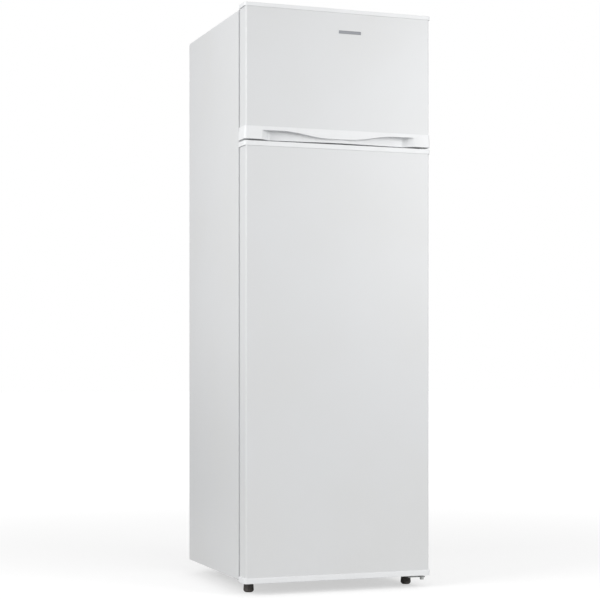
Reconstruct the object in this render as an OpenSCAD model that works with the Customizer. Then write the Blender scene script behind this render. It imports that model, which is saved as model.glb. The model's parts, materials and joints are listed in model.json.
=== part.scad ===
// Two-door refrigerator, freezer on top. The doors face -Y and are hinged on the right.
// The origin is on the floor, under the middle of the whole appliance.

/* [Overall] */
// Width of the cabinet and of the painted door skins
cabinet_w = 540; // [500:5:660]
// Depth over everything, from the door caps to the condenser
depth = 574; // [520:2:700]
// Height over everything, floor to the top of the hinge cover
height = 1610; // [1300:5:1950]

/* [Doors] */
// Thickness of a door, painted front to inner liner
door_t = 51; // [40:1:65]
// Height of the freezer door with its caps
freezer_door_h = 368; // [320:2:460]
// Space between the two doors
door_gap = 5; // [4:0.5:8]
// Floor to the bottom of the fridge door
door_floor_gap = 33; // [32:1:50]
// How far the freezer door stands above the cabinet top
door_rise = 8; // [4:1:12]
// Sheet of the door skins
skin_t = 0.7; // [0.5:0.1:1.2]
// Radius of a door's long edges
door_edge_r = 5; // [2:0.5:9]
// How far the plastic caps stand out at the sides
cap_proud = 4; // [1:0.5:6]
// How far the plastic caps stand out at the front
cap_front = 1; // [0.5:0.5:3]
// Height of the freezer door's top cap
top_cap_h = 11; // [8:1:16]
// Height of the fridge door's top cap
fridge_cap_h = 13; // [12:1:18]
// Height of the fridge door's bottom cap
bottom_cap_h = 15; // [12:1:20]
// Length of the bosses that take the hinge pins, past the caps
boss_len = 16; // [12:1:24]

/* [Handle] */
// Height of the freezer door's lower cap, which holds the grip
handle_h = 35; // [32:1:44]
// Height of its thicker lower band
handle_band = 24; // [20:1:26]
// Step between the lower band and the strip above it
handle_step = 1.2; // [0.6:0.2:2]
// Cabinet side to the end of the grip pocket
pocket_side = 42; // [30:1:70]
// Height of the pocket at its ends
pocket_lip_end = 25; // [20:0.5:28]
// Height of the pocket at its middle, where the lip dips
pocket_lip_mid = 10; // [6:0.5:14]
// Greatest depth of the pocket, near its ends
pocket_deep = 21; // [16:0.5:26]
// Depth of the pocket at its middle
pocket_shallow = 5.5; // [4:0.5:10]
// Length over which each end wall curves in
pocket_run = 33; // [20:1:40]
// Cabinet side to the finger groove in the fridge door's top cap
groove_side = 70; // [40:1:100]
// Width of the finger groove, front to back
groove_w = 22; // [16:1:26]
// Depth of the finger groove
groove_deep = 9.5; // [6:0.5:10]

/* [Gaskets] */
// Space between the doors and the cabinet
gasket_gap = 12; // [10:0.5:16]
// Width of the gasket
gasket_w = 14; // [10:1:16]
// Door edge to the gasket
gasket_inset = 17; // [15:1:20]
// Clearance between a gasket and the cabinet front
gasket_free = 0.3; // [0.2:0.1:0.6]

/* [Cabinet] */
// Floor to the underside of the cabinet
cabinet_z = 37; // [36:1:50]
// Sheet of the outer cabinet
shell_t = 0.8; // [0.6:0.1:1.2]
// Width of its folded front edge
shell_flange = 12; // [8:1:14]
// Radius of its top corners
shell_r = 6; // [3:0.5:10]
// Sheet of the inner liners
liner_t = 1.5; // [1:0.1:2]
// Radius of the liners' corners
liner_r = 14; // [8:1:20]
// Side walls of the fridge space
fridge_wall = 42; // [36:1:50]
// Side walls of the freezer space
freezer_wall = 54; // [46:1:60]
// Top wall of the freezer space
top_wall = 54; // [46:1:64]
// Back wall of the fridge space
fridge_back = 46; // [40:1:56]
// Back wall of the freezer space
freezer_back = 58; // [52:1:66]
// Floor wall of the fridge space
floor_wall = 45; // [38:1:56]
// Wall between the two spaces
mullion_h = 50; // [44:1:60]
// Depth of the compressor space
niche_d = 160; // [156:1:190]
// Height of the compressor space above the cabinet's underside
niche_h = 188; // [180:1:220]
// Insulation around the compressor space
niche_wall = 40; // [34:1:48]

/* [Shelves] */
// Number of glass shelves
shelf_n = 3; // [1:1:4]
// Thickness of the glass
glass_t = 4; // [3:0.5:6]
// Side play between glass and liner
shelf_play = 4; // [2:1:6]
// Cabinet front to the front of the shelves
shelf_setback = 113; // [108:1:140]
// Cabinet underside to the crisper's glass cover
crisper_cover_rise = 303; // [296:1:340]
// Width of the ledges that carry the shelves
ledge_w = 10; // [8:1:14]
// Thickness of those ledges
ledge_t = 6; // [4:1:8]
// Wall of the crisper drawer
drawer_t = 2.5; // [2:0.25:4]
// Gap between the drawer's side walls and the fridge walls
drawer_gap = 12; // [11:1:16]
// Gap above and behind the drawer
drawer_play = 8; // [6:1:12]

/* [Door Inner] */
// Clearance between a door's inner rib and the cabinet walls
rib_play = 10; // [9:1:14]
// Width of the ribs
rib_w = 24; // [18:1:30]
// Depth of the fridge door's ribs
fridge_rib_d = 60; // [40:1:64]
// Depth of the freezer door's ribs
freezer_rib_d = 45; // [30:1:50]
// Depth of the top rib, which presses the lamp switch
top_rib_d = 20; // [16:1:24]
// Wall of the door racks
rack_t = 2.5; // [2:0.25:3.5]
// Height of the door racks
rack_h = 74; // [50:1:90]
// Depth of the fridge door's racks
rack_d = 95; // [70:1:100]
// Depth of the bottle rack
bottle_rack_d = 105; // [90:1:108]
// Height of the bottle rack
bottle_rack_h = 104; // [80:1:130]
// Depth of the freezer door's racks
freezer_rack_d = 84; // [60:1:90]
// Number of small racks in the fridge door
rack_n = 3; // [1:1:4]
// Bottle rack's rim to the lowest small rack
rack_first = 150; // [120:5:220]
// Freezer door's bottom to its lower rack
freezer_rack_low = 72; // [60:2:90]
// Freezer door's bottom to its upper rack
freezer_rack_high = 176; // [150:2:200]
// Diameter of the egg tray's holes
egg_hole_d = 38; // [34:1:42]

/* [Hinges] */
// Hinge axis to the cabinet's side
hinge_side = 12; // [12:0.5:16]
// Hinge axis to the front of the door caps
hinge_back = 24; // [18:0.5:28]
// Radius of the hinge pins
pin_r = 4; // [3:0.25:5]
// Radial clearance of the pins in the caps
pin_fit = 0.08; // [0.05:0.01:0.1]
// Thickness of the hinge plates
plate_t = 2.5; // [2:0.1:3]
// Radius of the bosses around the pins
boss_r = 9; // [7:0.5:10]
// Height of the plastic cover over the top hinge, above the cabinet
cover_h = 18; // [16:1:26]
// Wall of that cover
cover_t = 1.8; // [1.2:0.2:2.4]

/* [Feet] */
// Cabinet side to the middle of a foot
foot_side = 35; // [30:1:50]
// Cabinet front to the middle of a foot
foot_back = 20; // [18:1:30]
// Radius of a levelling pad
foot_r = 14; // [12:0.5:18]
// Height of a levelling pad
foot_h = 22; // [18:1:22]
// Radius of the levelling screws
screw_r = 4; // [3:0.5:5]
// Radial clearance of the screws
screw_fit = 0.08; // [0.05:0.01:0.1]
// Cabinet side to the middle of a rear roller
roller_side = 90; // [80:1:110]
// Radius of the rear rollers
roller_r = 18; // [14:0.5:18]
// Width of the rear rollers
roller_w = 14; // [10:1:20]
// Radius of a roller's axle
axle_r = 3; // [2.5:0.25:4]
// Cabinet back to the middle of a roller
roller_back = 45; // [40:1:60]

/* [Cooling] */
// Radius of the compressor's housing
compressor_r = 70; // [60:1:74]
// Height of the compressor's housing
compressor_h = 128; // [110:1:140]
// Space between the cabinet back and the rearmost wire
condenser_standoff = 24; // [18:1:40]
// Radius of the condenser tube
tube_r = 2.4; // [2:0.1:3.2]
// Radius of the condenser's wires
wire_r = 0.8; // [0.6:0.1:1.2]
// Number of condenser runs
run_n = 17; // [7:2:21]
// Number of condenser wires
wire_n = 10; // [6:1:16]
// Floor to the lowest condenser run
condenser_z = 330; // [300:5:400]
// Cabinet side to the condenser's bends
condenser_side = 26; // [22:1:60]
// Thickness of the evaporator sheets
evaporator_t = 1.5; // [1:0.1:2]
// Freezer wall to the side of the evaporator sheets
evaporator_side = 36; // [20:1:60]
// Height of the fridge's evaporator sheet
evaporator_h = 400; // [250:5:450]

/* [Hidden] */
$fn = 48;

// Colours
enamel = [0.93, 0.94, 0.95];
cap_white = [0.90, 0.91, 0.92];
liner_white = [0.95, 0.96, 0.96];
foam_cream = [0.93, 0.86, 0.62];
rubber_grey = [0.72, 0.73, 0.74];
zinc = [0.70, 0.71, 0.70];
black_steel = [0.08, 0.08, 0.09];
copper = [0.75, 0.45, 0.30];
clear_blue = [0.80, 0.90, 0.93, 0.6];
foot_brown = [0.16, 0.14, 0.13];

// Main planes, front to back
half_w = cabinet_w / 2;
cap_y = -depth / 2;
skin_y = cap_y + cap_front;
door_back_y = skin_y + door_t;
cab_y = door_back_y + gasket_gap;
cab_back_y = depth / 2 - condenser_standoff;
fridge_back_y = cab_back_y - fridge_back;
freezer_back_y = cab_back_y - freezer_back;
niche_y = cab_back_y - niche_d;
step_y = niche_y - niche_wall;

// Main planes, bottom to top
cab_top = height - cover_h;
door_top = cab_top + door_rise;
freezer_door_z = door_top - freezer_door_h;
fridge_door_top = freezer_door_z - door_gap;
mullion_z = freezer_door_z - door_gap / 2;
fridge_z0 = cabinet_z + floor_wall;
fridge_z1 = mullion_z - mullion_h / 2;
freezer_z0 = mullion_z + mullion_h / 2;
freezer_z1 = cab_top - top_wall;
niche_top = cabinet_z + niche_h;
step_z = niche_top + niche_wall;
fridge_half = half_w - fridge_wall;
freezer_half = half_w - freezer_wall;
cap_half = half_w + cap_proud;

// Hinge axis
hinge_x = half_w - hinge_side;
hinge_y = cap_y + hinge_back;
bore_r = pin_r + pin_fit;

// Shelf places
shelf_y0 = cab_y + shelf_setback;
shelf_y1 = fridge_back_y - 5;
cover_z = cabinet_z + crisper_cover_rise;
housing_z0 = fridge_z1 - 42;
shelf_pitch = (housing_z0 - cover_z) / (shelf_n + 1);
shelf_zs = [for (i = [1 : shelf_n]) cover_z + i * shelf_pitch];
freezer_shelf_z = (freezer_z0 + freezer_z1) / 2;

// Lamp and thermostat housing
housing_half = 85;
housing_y0 = cab_y + 23;
housing_y1 = housing_y0 + 130;
housing_t = 2;
knob_x = -45;
knob_z = housing_z0 + 20;
switch_x = 55;
switch_r = 4.5;
switch_tip_y = door_back_y + top_rib_d + 0.5;

// Grip
pocket_half = half_w - pocket_side;
groove_half = half_w - groove_side;

// Condenser
run_y = depth / 2 - tube_r - 2 * wire_r + 0.3;
condenser_top = cab_top - 142;
run_pitch = (condenser_top - condenser_z) / (run_n - 1);
bend_fit = 0.15;
condenser_w = 2 * (half_w - condenser_side) - run_pitch;
bracket_x = condenser_w / 2 - 25;
lead_x = half_w - condenser_side + 3 * tube_r;
evaporator_w = 2 * (freezer_half - evaporator_side);
hot_x = -condenser_w / 2 - 8;
lead_z = 150;

// Compressor
comp_x = -60;
comp_y = niche_y + niche_d / 2;
comp_z = cabinet_z + 18;
tray_t = 1.5;
foot_span = 62;
gland_x = half_w - 70;
gland_z = cabinet_z + 33;
gland_bore_r = 4;
drain_r = 8;
drain_y = niche_y + 47;
drain_x = 40;
drier_r = 9;
drier_y = cab_back_y - 10;

// Feet and rollers
foot_x = half_w - foot_side;
foot_y = cab_y + foot_back;
foot_bore = screw_r + screw_fit;
roller_x = half_w - roller_side;
roller_y = cab_back_y - roller_back;
rail_t = 2;
axle_fit = 0.06;
hinge_plate_z = 25.5;

// A box between two corners
module block(x, y, z) {
    translate([x[0], y[0], z[0]]) cube([x[1] - x[0], y[1] - y[0], z[1] - z[0]]);
}

// An outline in X and Z, drawn out along Y
module along_y(y) {
    translate([0, y[1], 0]) rotate([90, 0, 0]) linear_extrude(y[1] - y[0]) children();
}

// An outline in Y and Z, drawn out along X
module along_x(x) {
    translate([x[0], 0, 0]) rotate([90, 0, 90]) linear_extrude(x[1] - x[0]) children();
}

// An outline in X and Y, drawn up along Z
module along_z(z) {
    translate([0, 0, z[0]]) linear_extrude(z[1] - z[0]) children();
}

// Quarter-arc points around a corner
function arc(c, r, from, n = 6) =
    [for (i = [0 : n]) [c[0] + r * cos(from + 90 * i / n), c[1] + r * sin(from + 90 * i / n)]];

// A rectangle with a radius for its lower and one for its upper corners
function round_rect(a, b, low, high) = concat(
    arc([b[0] - low, a[1] + low], low, -90), arc([b[0] - high, b[1] - high], high, 0),
    arc([a[0] + high, b[1] - high], high, 90), arc([a[0] + low, a[1] + low], low, 180));

module rounded(x, y, low, high) {
    polygon(round_rect([x[0], y[0]], [x[1], y[1]], low, high));
}

// A round rod between two points
module rod(a, b, r) {
    d = b - a;
    translate(a) rotate([0, acos(d[2] / norm(d)), atan2(d[1], d[0])]) cylinder(h = norm(d), r = r);
}

// A bent tube: rods with a slightly larger ball at every bend
module bent_tube(points, r) {
    for (i = [0 : len(points) - 2]) rod(points[i], points[i + 1], r);
    for (i = [1 : len(points) - 2]) translate(points[i]) sphere(r = r + 0.2);
}

function smooth_step(t) = t <= 0 ? 0 : t >= 1 ? 1 : t * t * (3 - 2 * t);

// ---- Cabinet ----

// Cabinet outline seen from the front, open or closed at the bottom
module cabinet_outline(inset, bottom) {
    r = shell_r - inset;
    rounded([-half_w + inset, half_w - inset], [bottom, cab_top - inset], 0.01, r);
}

module cabinet_shell() color(enamel) {
    difference() {
        along_y([cab_y, cab_back_y]) cabinet_outline(0, cabinet_z);
        along_y([cab_y + shell_t, cab_back_y + 1]) cabinet_outline(shell_t, cabinet_z - 1);
        along_y([cab_y - 1, cab_y + 1]) rounded([-half_w + shell_flange, half_w - shell_flange],
            [cabinet_z - 1, cab_top - shell_flange], 0.01, shell_r);
        // Screw holes of the top hinge
        for (p = top_hinge_screws) translate([p[0], p[1], cab_top - 3]) cylinder(h = 4, r = 2.1);
    }
}

module back_panel() color(zinc)
    along_y([cab_back_y - shell_t, cab_back_y]) cabinet_outline(shell_t, niche_top);

// Sheet under the cabinet, folded up and back over the compressor space
module base_panel() color(zinc) difference() {
    along_x([-half_w + shell_t, half_w - shell_t]) polygon([
        [cab_y + liner_t, cabinet_z], [niche_y, cabinet_z], [niche_y, niche_top - shell_t],
        [cab_back_y - shell_t, niche_top - shell_t], [cab_back_y - shell_t, niche_top],
        [niche_y - shell_t, niche_top], [niche_y - shell_t, cabinet_z + shell_t],
        [cab_y + liner_t, cabinet_z + shell_t]]);
    for (s = [-1, 1]) translate([s * foot_x, foot_y, cabinet_z - 1])
        cylinder(h = 3, r = screw_r + 1);
    translate([drain_x, drain_y, niche_top - 2]) cylinder(h = 4, r = drain_r);
    translate([suction_x, suction_y, niche_top - 2]) cylinder(h = 4, r = suction_r);
}

// Hollow of a food space, grown outwards by e
function fridge_profile(e) = [
    [cab_y, fridge_z0 - e], [step_y + e, fridge_z0 - e], [step_y + e, step_z - e],
    [fridge_back_y + e, step_z - e], [fridge_back_y + e, fridge_z1 + e], [cab_y, fridge_z1 + e]];

module fridge_space(e) intersection() {
    along_x([-half_w, half_w]) polygon(fridge_profile(e));
    along_y([cab_y, cab_back_y]) rounded([-fridge_half - e, fridge_half + e],
        [fridge_z0 - e, fridge_z1 + e], liner_r + e, liner_r + e);
}

module freezer_space(e) along_y([cab_y, freezer_back_y + e])
    rounded([-freezer_half - e, freezer_half + e], [freezer_z0 - e, freezer_z1 + e],
        liner_r + e, liner_r + e);

// Flat front edge of a liner, around its space
module liner_front(z, r) along_y([cab_y, cab_y + liner_t])
    rounded([-half_w + shell_flange, half_w - shell_flange], z, 0.01, r);

module freezer_evaporator_plate()
    block([-evaporator_w / 2, evaporator_w / 2],
        [freezer_back_y + liner_t, freezer_back_y + liner_t + evaporator_t],
        [freezer_z0 + liner_r, freezer_z1 - liner_r]);

fridge_evap_top = fridge_z1 - 100;

module fridge_evaporator_plate()
    block([-evaporator_w / 2, evaporator_w / 2],
        [fridge_back_y + liner_t, fridge_back_y + liner_t + evaporator_t],
        [fridge_evap_top - evaporator_h, fridge_evap_top]);

suction_x = -200;
suction_y = cab_back_y - 23;
suction_r = 4;
strip_half = 15;

module cabinet_foam() color(foam_cream) difference() {
    along_y([cab_y + liner_t, cab_back_y - shell_t]) cabinet_outline(shell_t, cabinet_z + shell_t);
    fridge_space(liner_t);
    freezer_space(liner_t);
    block([-half_w, half_w], [niche_y - shell_t, depth], [0, niche_top]);
    freezer_evaporator_plate();
    fridge_evaporator_plate();
    for (s = [-1, 1]) translate([s * foot_x, foot_y, cabinet_z]) cylinder(h = 26, r = screw_r + 2);
    translate([drain_x, drain_y, niche_top - 1]) cylinder(h = niche_wall + 2, r = drain_r);
    translate([suction_x, suction_y, niche_top - 1]) cylinder(h = 11, r = suction_r);
    for (p = top_hinge_screws) translate([p[0], p[1], cab_top - 14]) cylinder(h = 20, r = 2.1);
    for (x = middle_screw_xs) translate([x, cab_y, mullion_z]) rotate([-90, 0, 0])
        cylinder(h = 14, r = 2.1);
}

module freezer_liner() color(liner_white) {
    difference() {
        union() {
            freezer_space(liner_t);
            liner_front([mullion_z + strip_half, cab_top - shell_flange], shell_r);
        }
        translate([0, -0.5, 0]) freezer_space(0);
        block([-freezer_half, freezer_half], [cab_y - 1, cab_y + 1],
            [freezer_z0 + liner_r, freezer_z1 - liner_r]);
    }
    for (s = [-1, 1]) scale_x(s) block([freezer_half - ledge_w, freezer_half + 0.5],
        [cab_y + 60, freezer_back_y - 10], [freezer_shelf_z - 3 - ledge_t, freezer_shelf_z - 3]);
}

// Mirror image for the left side
module scale_x(s) mirror([s < 0 ? 1 : 0, 0, 0]) children();

module fridge_liner() color(liner_white) {
    difference() {
        union() {
            fridge_space(liner_t);
            liner_front([cabinet_z, mullion_z - strip_half], 0.01);
        }
        translate([0, -0.5, 0]) fridge_space(0);
        translate([drain_x, drain_y, step_z - 4]) cylinder(h = 6, r = drain_r);
    }
    // Rails under the crisper drawer's flanges
    for (s = [-1, 1]) scale_x(s) block([fridge_half - ledge_w, fridge_half + 0.5],
        [shelf_y0 + 12, fridge_back_y + 0.5],
        [drawer_top - drawer_t - 0.5 - ledge_t, drawer_top - drawer_t - 0.5]);
    for (z = concat(shelf_zs, [cover_z]), s = [-1, 1])
        scale_x(s) block([fridge_half - ledge_w, fridge_half + 0.5],
            [shelf_y0 + 12, fridge_back_y + 0.5], [z - glass_t - ledge_t, z - glass_t]);
}

module mullion_strip() color(cap_white) difference() {
    block([-half_w + shell_flange, half_w - shell_flange], [cab_y, cab_y + liner_t],
        [mullion_z - strip_half, mullion_z + strip_half]);
    for (x = middle_screw_xs) translate([x, cab_y - 1, mullion_z]) rotate([-90, 0, 0])
        cylinder(h = 4, r = 2.1);
}

// Steel rail under the front edge; the levelling screws thread into it
module front_rail() color(zinc) difference() {
    union() {
        block([-half_w + 3, half_w - 3], [cab_y + 2, cab_y + 52], [cabinet_z - rail_t, cabinet_z]);
        block([-half_w + 60, half_w - 60], [cab_y + 50, cab_y + 52],
            [cabinet_z - 10, cabinet_z]);
    }
    for (s = [-1, 1]) translate([s * foot_x, foot_y, cabinet_z - 5])
        cylinder(h = 10, r = foot_bore);
}

// ---- Cooling system ----

module freezer_evaporator() color(zinc) freezer_evaporator_plate();
module fridge_evaporator() color(zinc) fridge_evaporator_plate();

// Half-ring at the end of two runs
module run_bend(z, side) translate([side * condenser_w / 2, run_y, z + run_pitch / 2])
    rotate([90, 0, 0]) rotate([0, 0, side > 0 ? -90 : 90])
        rotate_extrude(angle = 180) translate([run_pitch / 2, 0]) circle(r = tube_r + bend_fit);

module condenser() color(black_steel) {
    for (i = [0 : run_n - 1]) rod([-condenser_w / 2 - 1, run_y, condenser_z + i * run_pitch],
        [condenser_w / 2 + 1, run_y, condenser_z + i * run_pitch], tube_r);
    for (i = [0 : run_n - 2]) run_bend(condenser_z + i * run_pitch, i % 2 == 0 ? 1 : -1);
    bent_tube([[-condenser_w / 2 + 5, run_y, condenser_z], [hot_x, run_y, condenser_z],
        [hot_x, run_y, lead_z]], tube_r + bend_fit);
    bent_tube([[condenser_w / 2 - 5, run_y, condenser_top], [lead_x, run_y, condenser_top],
        [lead_x, run_y, lead_z]], tube_r + bend_fit);
    for (i = [0 : wire_n - 1]) {
        x = -condenser_w / 2 + 12 + i * (condenser_w - 24) / (wire_n - 1);
        rod([x, run_y + tube_r + wire_r - 0.3, condenser_z - 10],
            [x, run_y + tube_r + wire_r - 0.3, condenser_top + 10], wire_r);
    }
}

// Clips that hold the condenser off the back of the cabinet
module condenser_brackets() color(zinc)
    for (s = [-1, 1], i = [1, run_n - 2]) difference() {
        translate([s * bracket_x, 0, condenser_z + i * run_pitch])
            block([-5, 5], [cab_back_y, run_y + tube_r * 0.4], [-9, 9]);
        translate([s * bracket_x - 10, run_y, condenser_z + i * run_pitch]) rotate([0, 90, 0])
            cylinder(h = 20, r = tube_r);
    }

module compressor_tray() color(zinc) {
    difference() {
        union() {
            block([-half_w + shell_t, half_w - shell_t], [niche_y, cab_back_y],
                [cabinet_z, cabinet_z + tray_t]);
            block([-half_w + shell_t, half_w - shell_t], [cab_back_y - tray_t, cab_back_y],
                [cabinet_z, cabinet_z + 14]);
            block([gland_x - 14, gland_x + 14], [cab_back_y - tray_t, cab_back_y],
                [cabinet_z, gland_z + 14]);
        }
        for (x = [-1, 1], y = [-1, 1])
            translate([comp_x + x * foot_span, comp_y + y * foot_span, cabinet_z - 1])
                cylinder(h = 5, r = 4);
        translate([gland_x, cab_back_y - 5, gland_z]) rotate([-90, 0, 0]) cylinder(h = 8, r = 8);
    }
}

// Tabs under the tray that carry the roller axles
module roller_brackets() color(zinc) for (s = [-1, 1], t = [-1, 1])
    translate([s * roller_x + t * (roller_w / 2 + 1.5), roller_y, 0]) difference() {
        block([-1, 1], [-12, 12], [roller_r - 7, cabinet_z]);
        translate([-3, 0, roller_r]) rotate([0, 90, 0]) cylinder(h = 6, r = axle_r + axle_fit);
    }

// Half-section of the compressor housing, grown inwards by e
function pot(e) = let (r = compressor_r - e, h = compressor_h - e, k = 26 - e)
    concat([[0, e]], arc([r - k, e + k], k, -90), arc([r - k, h - k], k, 0), [[0, h]]);

module compressor_housing() color(black_steel) {
    translate([comp_x, comp_y, comp_z]) difference() {
        rotate_extrude() polygon(pot(0));
        rotate_extrude() polygon(pot(3));
    }
    // Feet
    difference() {
        union() for (y = [-1, 1]) block([comp_x - foot_span - 10, comp_x + foot_span + 10],
            [comp_y + y * foot_span - 10, comp_y + y * foot_span + 10], [comp_z - 3, comp_z]);
        for (x = [-1, 1], y = [-1, 1])
            translate([comp_x + x * foot_span, comp_y + y * foot_span, comp_z - 5])
                cylinder(h = 8, r = 6);
    }
    for (x = [-1, 1]) block([comp_x + x * 40 - 8, comp_x + x * 40 + 8],
        [comp_y - foot_span, comp_y + foot_span], [comp_z - 3, comp_z + 9]);
}

// Motor and piston block that hangs inside the housing
module compressor_pump() color(zinc) translate([comp_x, comp_y, comp_z]) {
    translate([0, 0, 20]) cylinder(h = 52, r = 46);
    translate([0, 0, 71]) cylinder(h = 14, r = 34);
    translate([0, 0, 84]) block([-14, 38], [-14, 14], [0, 22]);
    for (a = [45 : 90 : 315]) rotate(a) translate([36, 0, 3]) cylinder(h = 18, r = 4);
}

module compressor_grommets() color(black_steel)
    for (x = [-1, 1], y = [-1, 1])
        translate([comp_x + x * foot_span, comp_y + y * foot_span, 0]) difference() {
            union() {
                translate([0, 0, cabinet_z + tray_t]) cylinder(h = comp_z - 3 - cabinet_z - tray_t, r = 9);
                translate([0, 0, cabinet_z - 3]) cylinder(h = comp_z + 5 - cabinet_z, r = 4);
                translate([0, 0, comp_z]) cylinder(h = 2, r = 9);
                translate([0, 0, comp_z - 4]) cylinder(h = 6, r = 6);
            }
            translate([0, 0, cabinet_z - 5]) cylinder(h = 40, r = 2.5);
        }

relay_x = comp_x + compressor_r - 3;

module relay_cover() color(black_steel) difference() {
    block([relay_x, relay_x + 42], [comp_y - 24, comp_y + 24], [comp_z + 34, comp_z + 92]);
    translate([comp_x, comp_y, comp_z]) cylinder(h = compressor_h, r = compressor_r);
    block([relay_x - 1, relay_x + 40], [comp_y - 22, comp_y + 22], [comp_z + 36, comp_z + 90]);
}

// Tray on the compressor that dries off the defrost water
module drip_tray() color(black_steel) difference() {
    block([comp_x - 66, drain_x + 24], [comp_y - 52, comp_y + 52],
        [comp_z + compressor_h, comp_z + compressor_h + 20]);
    block([comp_x - 64, drain_x + 22], [comp_y - 50, comp_y + 50],
        [comp_z + compressor_h + 2, comp_z + compressor_h + 21]);
}

module filter_drier() color(copper) translate([lead_x, drier_y, 0]) {
    translate([0, 0, 72]) cylinder(h = 10, r1 = 2, r2 = drier_r);
    translate([0, 0, 82]) cylinder(h = 38, r = drier_r);
    translate([0, 0, 120]) cylinder(h = 10, r1 = drier_r, r2 = 3);
}

module refrigerant_pipes() color(copper) {
    // Hot gas, from the compressor to the condenser's left lead
    bent_tube([[comp_x - compressor_r + 1, comp_y, comp_z + 60],
        [hot_x, comp_y, comp_z + 60], [hot_x, run_y, comp_z + 60],
        [hot_x, run_y, lead_z]], tube_r);
    // Liquid, from the right lead into the drier
    bent_tube([[lead_x, run_y, lead_z], [lead_x, run_y, lead_z - 6],
        [lead_x, drier_y, lead_z - 12], [lead_x, drier_y, 130]], tube_r);
    // Suction, from the fridge's evaporator back to the compressor
    bent_tube([[suction_x, suction_y, niche_top + 9], [suction_x, suction_y, comp_z + 84],
        [comp_x - 40, suction_y, comp_z + 84], [comp_x - 40, comp_y + compressor_r - 18, comp_z + 84]],
        suction_r - 0.5);
    // Capillary, from the drier up into the insulation
    bent_tube([[lead_x, drier_y, 72], [lead_x, drier_y, 62], [lead_x - 20, drier_y - 10, 62],
        [lead_x - 20, drier_y - 10, niche_top - shell_t]], 1);
}

module drain_tube() color(rubber_grey) translate([drain_x, drain_y, 0]) difference() {
    translate([0, 0, niche_top - 5]) cylinder(h = step_z - niche_top + 5, r = drain_r);
    translate([0, 0, niche_top - 6]) cylinder(h = niche_wall + 8, r = drain_r - 1.5);
}

// Rubber bush where the power cord comes out
module cable_gland() color(black_steel)
    translate([gland_x, cab_back_y - tray_t / 2, gland_z]) rotate([-90, 0, 0]) difference() {
        union() {
            translate([0, 0, -7]) cylinder(h = 14, r = 8);
            translate([0, 0, -4 - tray_t / 2]) cylinder(h = 4, r = 11);
            translate([0, 0, tray_t / 2]) cylinder(h = 3, r = 11);
        }
        translate([0, 0, -8]) cylinder(h = 16, r = gland_bore_r);
    }

// ---- Inside the cabinet ----

// Housing under the fridge's ceiling, open at the top and with a window below
module thermostat_housing() color(liner_white) difference() {
    block([-housing_half, housing_half], [housing_y0, housing_y1], [housing_z0, fridge_z1]);
    block([-housing_half + housing_t, housing_half - housing_t],
        [housing_y0 + housing_t, housing_y1 - housing_t], [housing_z0 + housing_t, fridge_z1 + 1]);
    block([lens_x - lens_half, lens_x + lens_half], [housing_y0 + 40, housing_y0 + 110],
        [housing_z0 - 1, housing_z0 + housing_t + 1]);
    translate([switch_x, housing_y0 - 1, knob_z]) rotate([-90, 0, 0])
        cylinder(h = housing_t + 2, r = switch_r + 0.08);
    translate([knob_x, housing_y0 - 1, knob_z]) rotate([-90, 0, 0])
        cylinder(h = housing_t + 2, r = 4.05);
}

lens_x = 0;
lens_half = 45;

module lamp_lens() color(clear_blue) {
    block([lens_x - lens_half, lens_x + lens_half], [housing_y0 + 40, housing_y0 + 110],
        [housing_z0 - 3, housing_z0 + 1]);
    for (i = [0 : 10]) block([lens_x - lens_half + 3 + i * 8, lens_x - lens_half + 5 + i * 8],
        [housing_y0 + 43, housing_y0 + 107], [housing_z0 + 1, housing_z0 + 2]);
}

// Small lamp screwed into a holder that stands on the housing's rear wall
module lamp_bulb() color(clear_blue) translate([0, housing_y1 - housing_t, knob_z])
    rotate([90, 0, 0]) {
        cylinder(h = 14, r = 9);
        translate([0, 0, 13]) cylinder(h = 12, r = 6.5);
        translate([0, 0, 24]) cylinder(h = 12, r1 = 6.5, r2 = 11);
        translate([0, 0, 44]) sphere(r = 12.5);
    }

module switch_button() color(cap_white) translate([switch_x, switch_tip_y, knob_z])
    rotate([-90, 0, 0]) {
        cylinder(h = housing_y0 - switch_tip_y + 26, r = switch_r);
        translate([0, 0, housing_y0 - switch_tip_y + housing_t + 8]) cylinder(h = 3, r = 7);
    }

// Dial with a grip bar and a pointer; its stem turns in the housing
module thermostat_knob() color(cap_white) translate([knob_x, housing_y0 - 0.4, knob_z])
    rotate([90, 0, 0]) {
        cylinder(h = 5, r = 15);
        translate([0, 0, 4]) cylinder(h = 5, r1 = 13.5, r2 = 12);
        translate([-2.5, -11, 8]) cube([5, 22, 5]);
        translate([0, 0, -12]) cylinder(h = 13, r = 4);
    }

wire_shelf_r = 2.5;

// Wire shelf: a round-wire frame with thinner wires front to back
module freezer_shelf() color(cap_white) {
    x = freezer_half - shelf_play;
    y0 = cab_y + 88;
    y1 = freezer_back_y - 14;
    z = freezer_shelf_z - 3 + wire_shelf_r;
    n = 17;
    for (s = [-1, 1]) rod([s * x, y0, z], [s * x, y1, z], wire_shelf_r);
    for (y = [y0, (y0 + y1) / 2, y1]) rod([-x, y, z], [x, y, z], wire_shelf_r - 0.2);
    for (s = [-1, 1], y = [y0, y1]) translate([s * x, y, z]) sphere(r = wire_shelf_r + 0.1);
    for (i = [1 : n]) {
        wx = -x + i * 2 * x / (n + 1);
        rod([wx, y0, z + wire_shelf_r + 0.6], [wx, y1, z + wire_shelf_r + 0.6], 1.3);
    }
}

// Open ice tray, with low walls between its cells
tray_size = [112, 260, 34];
tray_cells = [2, 6];
tray_wall = 2;
cell_depth = 14;

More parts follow.
